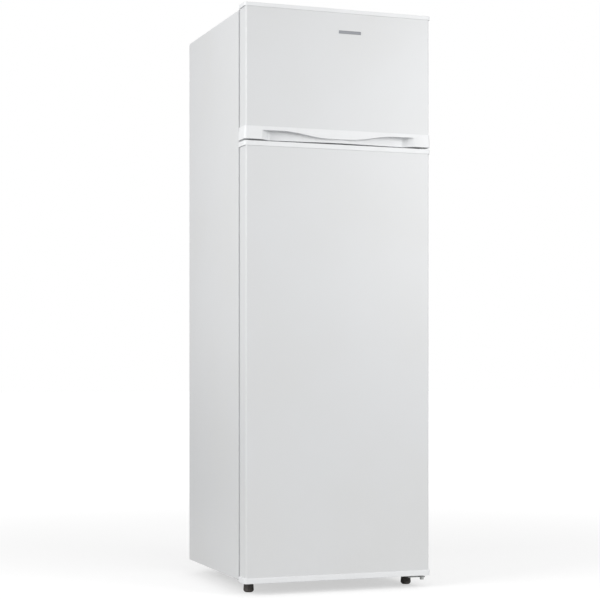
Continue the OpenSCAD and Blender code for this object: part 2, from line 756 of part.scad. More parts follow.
module ice_tray() color(clear_blue)
    translate([-freezer_half + 70, cab_y + 100, freezer_shelf_z - 3 + 2 * wire_shelf_r + 1.9]) {
        cell = [(tray_size[0] - tray_wall) / tray_cells[0], (tray_size[1] - tray_wall) / tray_cells[1]];
        difference() {
            cube(tray_size);
            translate([tray_wall, tray_wall, cell_depth])
                cube([tray_size[0] - 2 * tray_wall, tray_size[1] - 2 * tray_wall, tray_size[2]]);
            for (i = [0 : tray_cells[0] - 1], j = [0 : tray_cells[1] - 1])
                translate([tray_wall + i * cell[0], tray_wall + j * cell[1], tray_wall])
                    cube([cell[0] - tray_wall, cell[1] - tray_wall, tray_size[2]]);
        }
    }

function shelf_half() = fridge_half - shelf_play;

module shelf_glass(z) block([-shelf_half(), shelf_half()], [shelf_y0 + 3, shelf_y1 - 3],
    [z - glass_t, z]);

module glass_shelves() color(clear_blue) for (z = shelf_zs) shelf_glass(z);

module crisper_cover() color(clear_blue) shelf_glass(cover_z);

// Front and rear mouldings, slotted over the edges of the glass
module shelf_trims() color(cap_white) for (z = concat(shelf_zs, [cover_z])) difference() {
    union() {
        block([-shelf_half(), shelf_half()], [shelf_y0, shelf_y0 + 12], [z - glass_t - 3, z + 2]);
        block([-shelf_half(), shelf_half()], [shelf_y0, shelf_y0 + 3], [z - glass_t - 8, z + 2]);
        block([-shelf_half() + 12, shelf_half() - 12], [shelf_y1 - 10, shelf_y1],
            [z - glass_t - 3, z + 8]);
    }
    shelf_glass(z);
    for (s = [-1, 1]) scale_x(s) block([fridge_half - ledge_w - 1, fridge_half],
        [shelf_y0 + 11, shelf_y1 + 1], [z - glass_t - 20, z - glass_t]);
}

drawer_half = fridge_half - drawer_gap;
drawer_z = fridge_z0 + drawer_play;
drawer_top = cover_z - glass_t - ledge_t - 4;
drawer_y0 = shelf_y0 + 4;
drawer_lip = 6;
lip_setback = 34;

function drawer_profile(e) = [
    [drawer_y0 + e, drawer_z + e], [step_y - drawer_play - e, drawer_z + e],
    [step_y - drawer_play - e, step_z + drawer_play - 1 + e],
    [fridge_back_y - drawer_play - 4 - e, step_z + drawer_play - 1 + e],
    [fridge_back_y - drawer_play - 4 - e, drawer_top + (e > 0 ? 1 : 0)],
    [drawer_y0 + e, drawer_top + (e > 0 ? 1 : 0)]];

// Crisper drawer, stepped at the back to clear the compressor space
module crisper_drawer() color(clear_blue) difference() {
    union() {
        along_x([-drawer_half, drawer_half]) polygon(drawer_profile(0));
        block([-drawer_half, drawer_half], [drawer_y0 - 4, drawer_y0], [drawer_z, drawer_top]);
        // Lips that run on the rails; they stop short of the front to pass the door's gasket
        block([-drawer_half - drawer_lip, drawer_half + drawer_lip],
            [drawer_y0 + lip_setback, fridge_back_y - drawer_play - 4],
            [drawer_top - drawer_t, drawer_top]);
        block([-90, 90], [drawer_y0 - 10, drawer_y0], [drawer_top - 30, drawer_top - 26]);
    }
    along_x([-drawer_half + drawer_t, drawer_half - drawer_t]) polygon(drawer_profile(drawer_t));
}

// ---- Hinges and fasteners ----

top_hinge_screws = [[hinge_x - 6, cab_y + 22], [hinge_x - 6, cab_y + 48], [hinge_x - 34, cab_y + 34]];
middle_screw_xs = [hinge_x - 36, hinge_x - pin_r - 14];
top_plate_z = door_top + 1;

// Plate on the cabinet top that steps up over the door and carries the top pin
module top_hinge() color(zinc) {
    difference() {
        union() {
            block([hinge_x - 44, hinge_x + 4], [cab_y + 10, cab_y + 60],
                [cab_top, cab_top + plate_t]);
            block([hinge_x - 12, hinge_x + 6], [cab_y + 2, cab_y + 10 + plate_t],
                [top_plate_z, top_plate_z + plate_t]);
            block([hinge_x - 12, hinge_x + 4], [cab_y + 10, cab_y + 10 + plate_t],
                [cab_top, top_plate_z + plate_t]);
            block([hinge_x - 9, hinge_x + 6], [hinge_y, cab_y + 4],
                [top_plate_z, top_plate_z + plate_t]);
            translate([hinge_x, hinge_y, top_plate_z]) cylinder(h = plate_t, r = 9);
        }
        for (p = top_hinge_screws) translate([p[0], p[1], cab_top - 1]) cylinder(h = 5, r = 2.1);
    }
    translate([hinge_x, hinge_y, top_plate_z - 14]) cylinder(h = 14 + plate_t, r = pin_r);
}

// Hollow plastic cover over the top hinge's plate
module top_hinge_cover() color(cap_white) difference() {
    block([hinge_x - 50, hinge_x + 9], [cab_y + 1, cab_y + 68], [cab_top, height]);
    block([hinge_x - 50 + cover_t, hinge_x + 9 - cover_t],
        [cab_y + 1 + cover_t, cab_y + 68 - cover_t], [cab_top - 1, height - cover_t]);
    // Slot where the plate comes out
    block([hinge_x - 12.5, hinge_x + 6.5], [cab_y, cab_y + 2 + cover_t],
        [cab_top - 1, top_plate_z + plate_t + 0.5]);
}

middle_plate_z = mullion_z - plate_t / 2;
pin_low_z = fridge_door_top - fridge_cap_h - boss_len + 4;
pin_high_z = freezer_door_z + handle_h - 6;
bottom_pin_z = door_floor_gap + bottom_cap_h + boss_len - 4;

// Plate between the doors; one pin serves both
module middle_hinge() color(zinc) {
    block([hinge_x - 9, hinge_x + 9], [hinge_y, cab_y],
        [middle_plate_z, middle_plate_z + plate_t]);
    translate([hinge_x, hinge_y, middle_plate_z]) cylinder(h = plate_t, r = 9);
    difference() {
        block([hinge_x - 44, hinge_x - 4], [cab_y - plate_t, cab_y],
            [mullion_z - 7, mullion_z + 7]);
        for (x = middle_screw_xs) translate([x, cab_y - 5, mullion_z]) rotate([-90, 0, 0])
            cylinder(h = 6, r = 2.1);
    }
    translate([hinge_x, hinge_y, pin_low_z]) cylinder(h = pin_high_z - pin_low_z, r = pin_r);
}

// Plate under the front rail; the right foot's screw passes through it
module bottom_hinge() color(zinc) difference() {
    union() {
        block([hinge_x - 40, hinge_x + 9], [hinge_y, cab_y + 44],
            [hinge_plate_z, hinge_plate_z + plate_t]);
        block([hinge_x - 40, hinge_x + 9], [cab_y + 32, cab_y + 44],
            [hinge_plate_z, cabinet_z - rail_t]);
        translate([hinge_x, hinge_y, hinge_plate_z]) cylinder(h = plate_t, r = 9);
        translate([hinge_x, hinge_y, hinge_plate_z - 6.5]) cylinder(h = 8, r = 6, $fn = 6);
        translate([hinge_x, hinge_y, hinge_plate_z - 6.5])
            cylinder(h = bottom_pin_z - hinge_plate_z + 6.5, r = pin_r);
    }
    translate([foot_x, foot_y, hinge_plate_z - 1]) cylinder(h = 8, r = screw_r + 1.5);
}

// Pan-head screw pointing down, its head on z = 0
module screw(len) {
    translate([0, 0, -len]) cylinder(h = len + 1, r = 2.1);
    difference() {
        cylinder(h = 2.6, r1 = 4.2, r2 = 3.4);
        for (a = [0, 90]) rotate(a) translate([-2.4, -0.5, 1.4]) cube([4.8, 1, 2]);
    }
}

module flange_screws() color(zinc) {
    for (p = top_hinge_screws) translate([p[0], p[1], cab_top + plate_t]) screw(15);
    for (x = middle_screw_xs) translate([x, cab_y - plate_t, mullion_z]) rotate([90, 0, 0])
        screw(15);
}

// ---- Feet and rollers ----

module levelling_pad(side) color(foot_brown) translate([side * foot_x, foot_y, 0]) difference() {
    union() {
        cylinder(h = 4, r1 = foot_r - 4, r2 = foot_r);
        translate([0, 0, 4]) cylinder(h = foot_h - 4, r1 = foot_r, r2 = foot_r - 1.5);
    }
    translate([0, 0, 6]) cylinder(h = foot_h, r = foot_bore);
}

module levelling_screw(side) color(zinc) translate([side * foot_x, foot_y, 0]) {
    translate([0, 0, 6.2]) cylinder(h = 52, r = screw_r);
    translate([0, 0, foot_h + 0.2]) cylinder(h = 3, r = 7, $fn = 6);
}

module foot_left_pad() levelling_pad(-1);
module foot_left_screw() levelling_screw(-1);
module foot_right_pad() levelling_pad(1);
module foot_right_screw() levelling_screw(1);

module roller(side) color(foot_brown) translate([side * roller_x, roller_y, roller_r])
    rotate([0, 90, 0]) difference() {
        union() {
            translate([0, 0, -roller_w / 2]) cylinder(h = roller_w, r = roller_r);
            translate([0, 0, -roller_w / 2 - 3]) cylinder(h = roller_w + 6, r = axle_r);
        }
        for (s = [-1, 1]) translate([0, 0, s * roller_w / 2]) difference() {
            cylinder(h = 4, r = roller_r - 4, center = true);
            cylinder(h = 5, r = axle_r + 3, center = true);
        }
    }

module roller_left() roller(-1);
module roller_right() roller(1);

// ---- Doors ----

// Door outline seen from above, with rounded front edges
module door_plan(half, front, r) polygon(concat(
    [[half, door_back_y], [-half, door_back_y]],
    arc([-half + r, front + r], r, 180), arc([half - r, front + r], r, 270)));

// U-shaped painted sheet between two caps
module door_skin(z) color(enamel) difference() {
    along_z(z) door_plan(half_w, skin_y, door_edge_r);
    translate([0, 0.01, z[0] - 1]) linear_extrude(z[1] - z[0] + 2)
        offset_plan(skin_t);
}

module offset_plan(e) polygon(concat(
    [[half_w - e, door_back_y], [-half_w + e, door_back_y]],
    arc([-half_w + door_edge_r, skin_y + door_edge_r], door_edge_r - e, 180),
    arc([half_w - door_edge_r, skin_y + door_edge_r], door_edge_r - e, 270)));

// Plastic cap across the end of a door
module door_cap(z) along_z(z) door_plan(cap_half, cap_y, door_edge_r + 3);

module hinge_boss(z) translate([hinge_x, hinge_y, z[0]]) cylinder(h = z[1] - z[0], r = boss_r);
module hinge_bore(z) translate([hinge_x, hinge_y, z[0]]) cylinder(h = z[1] - z[0], r = bore_r);

// Inner ribs of a door: both sides, bottom and a shallow one on top
module door_ribs(half, depth_in, z, e) {
    y = [door_back_y - 4, door_back_y + depth_in - e];
    for (s = [-1, 1]) scale_x(s)
        block([half - rib_w + e, half - e], y, [z[0] + e, z[1] - e]);
    block([-half + e, half - e], y, [z[0] + e, z[0] + rib_w - e]);
    block([-half + e, half - e], [door_back_y - 4, door_back_y + top_rib_d - e],
        [z[1] - rib_w + e, z[1] - e]);
}

// Moulded inner sheet with its hollow ribs
module door_liner(half, depth_in, z, ribs_z) color(liner_white) difference() {
    union() {
        block([-half_w + skin_t, half_w - skin_t], [door_back_y - liner_t, door_back_y], z);
        intersection() {
            door_ribs(half, depth_in, ribs_z, 0);
            block([-half, half], [door_back_y - liner_t, depth], ribs_z);
        }
    }
    door_ribs(half, depth_in, ribs_z, liner_t);
}

module door_foam(half, depth_in, z, ribs_z) color(foam_cream) {
    difference() {
        union() {
            intersection() {
                translate([0, 0.01, z[0]]) linear_extrude(z[1] - z[0]) offset_plan(skin_t);
                block([-half_w, half_w], [skin_y, door_back_y - liner_t], z);
            }
            intersection() {
                door_ribs(half, depth_in, ribs_z, liner_t);
                block([-half_w, half_w], [door_back_y - liner_t - 1, depth], ribs_z);
            }
        }
        hinge_boss([z[0] - 1, z[0] + boss_len]);
        hinge_boss([z[1] - boss_len, z[1] + 1]);
    }
}

// Ring between two rectangles, standing behind a door
module frame(z, y, inset, width) difference() {
    block([-half_w + inset, half_w - inset], y, z);
    block([-half_w + inset + width, half_w - inset - width], [y[0] - 1, y[1] + 1],
        [z[0] + width, z[1] - width]);
}

// Magnetic gasket: foot, bellows neck and magnet pad
module gasket(z) color(rubber_grey) {
    y1 = cab_y - gasket_free;
    frame(z, [door_back_y, door_back_y + 3], gasket_inset, gasket_w);
    frame([z[0] + 3, z[1] - 3], [door_back_y + 3, y1 - 4], gasket_inset + 3, gasket_w - 6);
    frame([z[0] + 1, z[1] - 1], [y1 - 4, y1], gasket_inset + 1, gasket_w - 2);
}

// Open bin between a door's side ribs
module door_rack(half, d, z, h) {
    y = [door_back_y, door_back_y + d];
    difference() {
        block([-half, half], y, [z, z + h]);
        block([-half + rack_t, half - rack_t], [y[0] - 1, y[1] - rack_t], [z + rack_t, z + h + 1]);
        block([-half + rack_t, half - rack_t], [y[1] - rack_t - 1, y[1] + 1],
            [z + h * 0.62, z + h * 0.8]);
    }
}

freezer_body_z = [freezer_door_z + handle_h, door_top - top_cap_h];
freezer_ribs_z = [freezer_z0 + rib_play - 2, freezer_z1 - rib_play];
freezer_rib_half = freezer_half - rib_play + 2;
freezer_gasket_z = [mullion_z + gasket_w / 2 + 1.5, cab_top - 8];

module freezer_door_skin() door_skin(freezer_body_z);
module freezer_door_foam() door_foam(freezer_rib_half, freezer_rib_d, freezer_body_z,
    [max(freezer_ribs_z[0], freezer_body_z[0]), freezer_ribs_z[1]]);
module freezer_door_liner() door_liner(freezer_rib_half, freezer_rib_d, freezer_body_z,
    [max(freezer_ribs_z[0], freezer_body_z[0]), freezer_ribs_z[1]]);
module freezer_door_gasket() gasket(freezer_gasket_z);

module freezer_door_top_cap() color(cap_white) difference() {
    union() {
        door_cap([door_top - top_cap_h, door_top]);
        hinge_boss([door_top - top_cap_h - boss_len, door_top]);
    }
    hinge_bore([top_plate_z - 16, door_top + 1]);
}

// Height of the grip pocket's lip at x, and the depth of its back wall
function lip_at(x) = pocket_lip_mid
    + (pocket_lip_end - pocket_lip_mid) * smooth_step((abs(x) - 30) / 135);
function pocket_at(x) = smooth_step((pocket_half - abs(x)) / pocket_run)
    * (pocket_shallow + (pocket_deep - pocket_shallow) * abs(x) / (pocket_half - pocket_run));

pocket_xs = [for (i = [-32 : 32]) pocket_half * i / 32];

module grip_pocket() intersection() {
    along_y([cap_y - 1, door_back_y]) polygon(concat(
        [[pocket_half, freezer_door_z - 1], [-pocket_half, freezer_door_z - 1]],
        [for (x = pocket_xs) [x, freezer_door_z + lip_at(x)]]));
    along_z([freezer_door_z - 1, freezer_door_z + handle_h]) polygon(concat(
        [[pocket_half, cap_y - 2], [-pocket_half, cap_y - 2]],
        [for (x = pocket_xs) [x, cap_y + pocket_at(x)]]));
}

module freezer_door_handle() color(cap_white) difference() {
    union() {
        door_cap([freezer_door_z, freezer_door_z + handle_band]);
        along_z([freezer_door_z + handle_band, freezer_door_z + handle_h])
            door_plan(cap_half - handle_step, cap_y + handle_step / 2, door_edge_r + 2);
        hinge_boss([freezer_door_z, freezer_door_z + handle_h + boss_len]);
    }
    grip_pocket();
    hinge_bore([freezer_door_z - 1, pin_high_z + 2]);
}

module freezer_door_racks() color(clear_blue)
    for (rise = [freezer_rack_low, freezer_rack_high])
        door_rack(freezer_rib_half - rib_w, freezer_rack_d, freezer_door_z + rise, rack_h);

fridge_body_z = [door_floor_gap + bottom_cap_h, fridge_door_top - fridge_cap_h];
fridge_ribs_z = [fridge_z0 + rib_play, fridge_z1 - rib_play];
fridge_rib_half = fridge_half - rib_play;
fridge_gasket_z = [door_floor_gap + 24, mullion_z - gasket_w / 2 - 1.5];
rack_half = fridge_rib_half - rib_w;
bottle_rack_z = fridge_ribs_z[0] + rib_w;
rack_pitch = (housing_z0 - 40 - bottle_rack_z - bottle_rack_h) / rack_n;
rack_zs = [for (i = [0 : rack_n - 1])
    bottle_rack_z + bottle_rack_h + rack_first + i * rack_pitch];

module fridge_door_skin() door_skin(fridge_body_z);
module fridge_door_foam() door_foam(fridge_rib_half, fridge_rib_d, fridge_body_z, fridge_ribs_z);
module fridge_door_liner() door_liner(fridge_rib_half, fridge_rib_d, fridge_body_z, fridge_ribs_z);
module fridge_door_gasket() gasket(fridge_gasket_z);

module fridge_door_top_cap() color(cap_white) difference() {
    union() {
        door_cap([fridge_door_top - fridge_cap_h, fridge_door_top]);
        hinge_boss([fridge_door_top - fridge_cap_h - boss_len, fridge_door_top]);
    }
    hinge_bore([pin_low_z - 2, fridge_door_top + 1]);
    // Room for the fingers that pull the door above
    block([-groove_half, groove_half], [cap_y + 9, cap_y + 9 + groove_w],
        [fridge_door_top - groove_deep, fridge_door_top + 1]);
}

module fridge_door_bottom_cap() color(cap_white) difference() {
    union() {
        door_cap([door_floor_gap, door_floor_gap + bottom_cap_h]);
        hinge_boss([door_floor_gap, door_floor_gap + bottom_cap_h + boss_len]);
    }
    hinge_bore([door_floor_gap - 1, bottom_pin_z + 2]);
}

module fridge_door_racks() color(clear_blue)
    for (z = rack_zs) door_rack(rack_half, rack_d, z, rack_h);

module bottle_rack() color(clear_blue)
    door_rack(rack_half, bottle_rack_d, bottle_rack_z, bottle_rack_h);

egg_n = floor((2 * rack_half - 2 * rack_t - 10) / 50);

// Egg tray that stands in the top rack
module egg_tray() color(clear_blue)
    translate([0, door_back_y + rack_d / 2 - rack_t, rack_zs[rack_n - 1] + rack_t]) difference() {
        block([-egg_n * 25, egg_n * 25], [-36, 36], [0, 22]);
        block([-egg_n * 25 + 2, egg_n * 25 - 2], [-34, 34], [-1, 20]);
        for (i = [0 : egg_n - 1]) translate([(i - (egg_n - 1) / 2) * 49, 0, 10])
            cylinder(h = 14, r = egg_hole_d / 2);
    }

cabinet_shell();
back_panel();
base_panel();
compressor_tray();
roller_brackets();
cabinet_foam();
freezer_liner();
fridge_liner();
mullion_strip();
front_rail();
freezer_evaporator();
fridge_evaporator();
condenser();
condenser_brackets();
compressor_housing();
compressor_pump();
compressor_grommets();
relay_cover();
drip_tray();
filter_drier();
refrigerant_pipes();
drain_tube();
cable_gland();
thermostat_housing();
lamp_lens();
lamp_bulb();
freezer_shelf();
ice_tray();
glass_shelves();
shelf_trims();
crisper_cover();
top_hinge();
top_hinge_cover();
middle_hinge();
bottom_hinge();
flange_screws();
foot_left_pad();
foot_left_screw();
foot_right_pad();
foot_right_screw();
roller_left();
roller_right();
switch_button();
thermostat_knob();
crisper_drawer();
freezer_door_skin();
freezer_door_foam();
freezer_door_liner();
freezer_door_top_cap();
freezer_door_handle();
freezer_door_gasket();
freezer_door_racks();
fridge_door_skin();
fridge_door_foam();
fridge_door_liner();
fridge_door_top_cap();
fridge_door_bottom_cap();
fridge_door_gasket();
fridge_door_racks();
bottle_rack();
egg_tray();
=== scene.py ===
import json
import math

import bpy
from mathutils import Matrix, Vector

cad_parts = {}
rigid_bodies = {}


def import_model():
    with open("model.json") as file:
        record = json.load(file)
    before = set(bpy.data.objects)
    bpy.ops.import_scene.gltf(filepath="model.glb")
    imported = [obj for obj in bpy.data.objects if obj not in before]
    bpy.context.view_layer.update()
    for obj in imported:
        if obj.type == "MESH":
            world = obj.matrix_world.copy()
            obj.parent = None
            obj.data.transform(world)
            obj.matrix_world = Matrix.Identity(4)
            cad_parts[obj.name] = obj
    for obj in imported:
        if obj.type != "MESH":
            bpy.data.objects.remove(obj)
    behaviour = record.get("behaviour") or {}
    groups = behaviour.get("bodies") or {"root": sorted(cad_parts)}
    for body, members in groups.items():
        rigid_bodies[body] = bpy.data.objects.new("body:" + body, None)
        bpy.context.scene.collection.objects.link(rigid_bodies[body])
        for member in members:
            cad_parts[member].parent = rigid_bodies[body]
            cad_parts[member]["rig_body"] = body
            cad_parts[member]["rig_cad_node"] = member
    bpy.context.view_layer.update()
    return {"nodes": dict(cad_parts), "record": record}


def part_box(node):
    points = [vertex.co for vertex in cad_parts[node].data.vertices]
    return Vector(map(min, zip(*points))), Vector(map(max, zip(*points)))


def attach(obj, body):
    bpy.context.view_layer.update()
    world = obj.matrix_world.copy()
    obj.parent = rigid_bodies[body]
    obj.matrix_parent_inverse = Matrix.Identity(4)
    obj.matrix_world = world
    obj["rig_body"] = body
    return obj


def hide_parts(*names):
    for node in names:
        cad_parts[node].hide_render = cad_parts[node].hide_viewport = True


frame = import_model()
bpy.ops.object.select_all(action="DESELECT")
print("frame loaded")

mm = 0.001
slotOf = {part["node"]: part["material_slot"] for part in frame["record"]["subparts"]}
bodyOf = {node: obj["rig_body"] for node, obj in frame["nodes"].items()}


class Wire:
    # a node's output that Python sums work on
    def __init__(self, finish, socket):
        self.finish, self.socket = finish, socket

    def sum(self, operation, first, second=0.0):
        return self.finish.node("ShaderNodeMath", {"operation": operation}, {0: first, 1: second})

    def __add__(self, other): return self.sum("ADD", self, other)
    def __radd__(self, other): return self.sum("ADD", other, self)
    def __rsub__(self, other): return self.sum("SUBTRACT", other, self)
    def __mul__(self, other): return self.sum("MULTIPLY", self, other)
    def __rmul__(self, other): return self.sum("MULTIPLY", other, self)
    def __abs__(self): return self.sum("ABSOLUTE", self)


class Finish:
    # one material: a Principled shader and the nodes that feed it
    def __init__(self, look):
        self.material = bpy.data.materials.new(look["name"])
        self.material.use_nodes = True
        self.tree = self.material.node_tree
        self.shader = self.tree.nodes["Principled BSDF"]
        # a flat color and roughness, for viewers that draw no patterns
        self.fill(self.shader, {"Base Color": (*look["flat"], 1), "Roughness": look["flatRough"]})
        self.fill(self.shader, look.get("fixed", {}))
        self.place = self.node("ShaderNodeTexCoord", output="Object")

    def fill(self, made, values):
        for key, value in values.items():
            if isinstance(value, Wire):
                self.tree.links.new(value.socket, made.inputs[key])
            else:
                made.inputs[key].default_value = value

    def node(self, kind, settings=None, values=None, output=0):
        made = self.tree.nodes.new(kind)
        for key, value in (settings or {}).items():
            setattr(made, key, value)
        self.fill(made, values or {})
        return Wire(self, made.outputs[output])

    def noise(self, waves, detail, stretch=None):
        # waves are counted per metre; stretch squeezes the pattern along the axes
        at = self.place
        if stretch:
            at = self.node("ShaderNodeMapping", {}, {"Vector": at, "Scale": stretch})
        return self.node("ShaderNodeTexNoise", {},
                         {"Vector": at, "Scale": waves, "Detail": detail})

    def cells(self, waves, output="Distance"):
        return self.node("ShaderNodeTexVoronoi", {}, {"Vector": self.place, "Scale": waves},
                         output)

    def ramp(self, value, low, high):
        # 0 below low, 1 above high
        return self.node("ShaderNodeMapRange", {"interpolation_type": "SMOOTHSTEP"},
                         {"Value": value, "From Min": low, "From Max": high})

    def mix(self, mask, first, second):
        # sockets 0, 6 and 7 are the node's factor and its two colors, and 2 is its color out
        first, second = [v if isinstance(v, Wire) else (*v, 1) for v in (first, second)]
        return self.node("ShaderNodeMix", {"data_type": "RGBA"}, {0: mask, 6: first, 7: second}, 2)

    def along(self, axis):
        return self.node("ShaderNodeSeparateXYZ", {}, {0: self.place}, axis)

    def color(self, value): self.fill(self.shader, {"Base Color": value})
    def rough(self, value): self.fill(self.shader, {"Roughness": value})

    def bump(self, relief, depth, strength):
        # depth is the real height of the relief
        self.fill(self.shader, {"Normal": self.node(
            "ShaderNodeBump", {}, {"Height": relief, "Strength": strength, "Distance": depth})})


# In the looks below a noise is its waves, its detail and any stretch, a fade is where a pattern
# starts and where it is full, and a rough is the lowest value and what the pattern adds to it.

enamel = {"name": "enamel", "flat": (0.745, 0.755, 0.765), "flatRough": 0.3,
          "fixed": {"Coat Weight": 0.25, "Coat Roughness": 0.28, "Specular IOR Level": 0.5},
          "clean": (0.745, 0.755, 0.765), "warm": (0.725, 0.73, 0.728),
          "drift": (3.2, 3), "driftFade": (0.35, 0.7), "driftShare": 0.5, "driftRough": 0.03,
          # lowFade and lowShare paint shade: the enamel is mixed towards the darker warm tone near
          # the bottom, standing in for less light falling low on the front
          "lowFade": (0.05, 0.55), "lowShare": 0.35,
          "peel": (260, 2), "rough": (0.36, 0.08),
          "grain": (900, 1), "grainShare": 0.25, "depth": 0.05 * mm, "strength": 0.55}


def enamelFinish():
    f = Finish(enamel)
    drift = f.ramp(f.noise(*enamel["drift"]), *enamel["driftFade"])
    # painted shade: darker towards the bottom, where less light reaches the front; the drift above
    # is random tone
    low = 1 - f.ramp(f.along("Z"), *enamel["lowFade"])
    f.color(f.mix(drift * enamel["driftShare"] + low * enamel["lowShare"],
                  enamel["clean"], enamel["warm"]))
    peel = f.noise(*enamel["peel"])
    lowest, added = enamel["rough"]
    f.rough(lowest + peel * added + drift * enamel["driftRough"])
    f.bump(peel + f.noise(*enamel["grain"]) * enamel["grainShare"],
           enamel["depth"], enamel["strength"])
    return f.material


cap = {"name": "capPlastic", "flat": (0.85, 0.86, 0.87), "flatRough": 0.36,
       "fixed": {"Specular IOR Level": 0.5},
       "cloud": (14, 3), "cloudFade": (0.35, 0.75), "cloudRough": 0.05,
       "colors": ((0.86, 0.87, 0.88), (0.835, 0.845, 0.852)),
       "cells": 1500, "rough": (0.31, 0.12),
       "grain": (500, 2), "grainShare": 0.5, "depth": 0.04 * mm, "strength": 0.5}


def capFinish():
    f = Finish(cap)
    cells = f.cells(cap["cells"])
    cloud = f.noise(*cap["cloud"])
    f.color(f.mix(f.ramp(cloud, *cap["cloudFade"]), *cap["colors"]))
    lowest, added = cap["rough"]
    f.rough(lowest + cells * added + cloud * cap["cloudRough"])
    f.bump(cells + f.noise(*cap["grain"]) * cap["grainShare"], cap["depth"], cap["strength"])
    return f.material


liner = {"name": "linerPlastic", "flat": (0.83, 0.85, 0.855), "flatRough": 0.28,
         "fixed": {"Coat Weight": 0.25},
         "wave": (6, 2), "waveFade": (0.3, 0.75), "waveShare": 0.5,
         "colors": ((0.82, 0.84, 0.845), (0.80, 0.823, 0.832)), "rough": (0.26, 0.06),
         "grain": (420, 2), "grainShare": 0.3, "depth": 0.06 * mm, "strength": 0.4}


def linerFinish():
    f = Finish(liner)
    wave = f.noise(*liner["wave"])
    f.color(f.mix(f.ramp(wave, *liner["waveFade"]), *liner["colors"]))
    lowest, added = liner["rough"]
    f.rough(lowest + wave * added)
    f.bump(wave * liner["waveShare"] + f.noise(*liner["grain"]) * liner["grainShare"],
           liner["depth"], liner["strength"])
    return f.material


zinc = {"name": "galvanised", "flat": (0.6, 0.61, 0.6), "flatRough": 0.42,
        "fixed": {"Metallic": 0.9}, "flakes": 130, "flakeShare": 0.7,
        "colors": ((0.66, 0.67, 0.66), (0.47, 0.49, 0.50)),
        "stain": (9, 4), "stainFade": (0.5, 0.8), "stainRough": 0.15, "rough": (0.33, 0.16),
        "grain": (600, 2), "grainShare": 0.3, "depth": 0.03 * mm, "strength": 0.4}


def zincFinish():
    f = Finish(zinc)
    # one channel of the cells' random colors gives each flake its own grey
    flake = f.node("ShaderNodeSeparateColor", {}, {0: f.cells(zinc["flakes"], "Color")})
    stain = f.ramp(f.noise(*zinc["stain"]), *zinc["stainFade"])
    f.color(f.mix(flake * zinc["flakeShare"], *zinc["colors"]))
    lowest, added = zinc["rough"]
    f.rough(lowest + flake * added + stain * zinc["stainRough"])
    f.bump(flake + f.noise(*zinc["grain"]) * zinc["grainShare"], zinc["depth"], zinc["strength"])
    return f.material


foam = {"name": "insulationFoam", "flat": (0.82, 0.70, 0.42), "flatRough": 0.85,
        "pores": 420, "cloud": (35, 4), "colors": ((0.86, 0.75, 0.48), (0.70, 0.56, 0.30)),
        "rough": (0.8, 0.1), "depth": 0.6 * mm, "strength": 0.7}


def foamFinish():
    f = Finish(foam)
    cloud = f.noise(*foam["cloud"])
    f.color(f.mix(cloud, *foam["colors"]))
    lowest, added = foam["rough"]
    f.rough(lowest + cloud * added)
    f.bump(f.cells(foam["pores"]) + cloud, foam["depth"], foam["strength"])
    return f.material


glass = {"name": "shelfGlass", "flat": (0.72, 0.87, 0.82), "flatRough": 0.06,
         "fixed": {"Specular IOR Level": 0.7, "IOR": 1.5},
         "rimStart": 5 * mm, "rimFull": 1 * mm, "rimAlpha": 0.5,
         "colors": ((0.80, 0.90, 0.87), (0.25, 0.55, 0.45)), "alpha": 0.26,
         "smear": (16, 4), "smearFade": (0.52, 0.85), "smearAlpha": 0.05, "rough": (0.05, 0.12)}


def glassFinish():
    # clear in the middle of a pane, green and denser towards its side edges
    f = Finish(glass)
    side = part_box("glass_shelves")[1].x
    rim = f.ramp(abs(f.along("X")), side - glass["rimStart"], side - glass["rimFull"])
    smear = f.ramp(f.noise(*glass["smear"]), *glass["smearFade"])
    f.color(f.mix(rim, *glass["colors"]))
    f.fill(f.shader, {"Alpha": glass["alpha"] + rim * glass["rimAlpha"]
                      + smear * glass["smearAlpha"]})
    lowest, added = glass["rough"]
    f.rough(lowest + smear * added)
    return f.material


# the clear door racks, trays and drawer
bins = {"name": "clearBin", "flat": (0.74, 0.84, 0.90), "flatRough": 0.12,
        "fixed": {"Specular IOR Level": 0.65},
        "flow": (5, 2, (1, 1, 0.4)), "flowAlpha": 0.04,
        "colors": ((0.78, 0.87, 0.92), (0.70, 0.82, 0.89)), "alpha": 0.4,
        "scuff": (14, 3, (1, 1, 2)), "scuffFade": (0.5, 0.9), "scuffAlpha": 0.04,
        "rough": (0.09, 0.07), "depth": 0.1 * mm, "strength": 0.25}


def binFinish():
    f = Finish(bins)
    flow = f.noise(*bins["flow"])
    scuff = f.ramp(f.noise(*bins["scuff"]), *bins["scuffFade"])
    f.color(f.mix(flow, *bins["colors"]))
    f.fill(f.shader, {"Alpha": bins["alpha"] + scuff * bins["scuffAlpha"]
                      + flow * bins["flowAlpha"]})
    lowest, added = bins["rough"]
    f.rough(lowest + scuff * added)
    f.bump(flow, bins["depth"], bins["strength"])
    return f.material


foot = {"name": "footPlastic", "flat": (0.05, 0.045, 0.04), "flatRough": 0.5,
        "dust": (120, 4), "dustFade": (0.42, 0.8), "dustShare": 0.5,
        "lowFade": (0.0, 12 * mm), "lowShare": 0.4,
        "colors": ((0.045, 0.038, 0.034), (0.16, 0.145, 0.13)), "rough": (0.42, 0.3),
        "grain": (800, 3), "depth": 0.1 * mm, "strength": 0.6}


def footFinish():
    f = Finish(foot)
    dust = f.ramp(f.noise(*foot["dust"]), *foot["dustFade"])
    low = 1 - f.ramp(f.along("Z"), *foot["lowFade"])
    f.color(f.mix(dust * foot["dustShare"] + low * foot["lowShare"], *foot["colors"]))
    lowest, added = foot["rough"]
    f.rough(lowest + dust * added)
    f.bump(f.noise(*foot["grain"]), foot["depth"], foot["strength"])
    return f.material


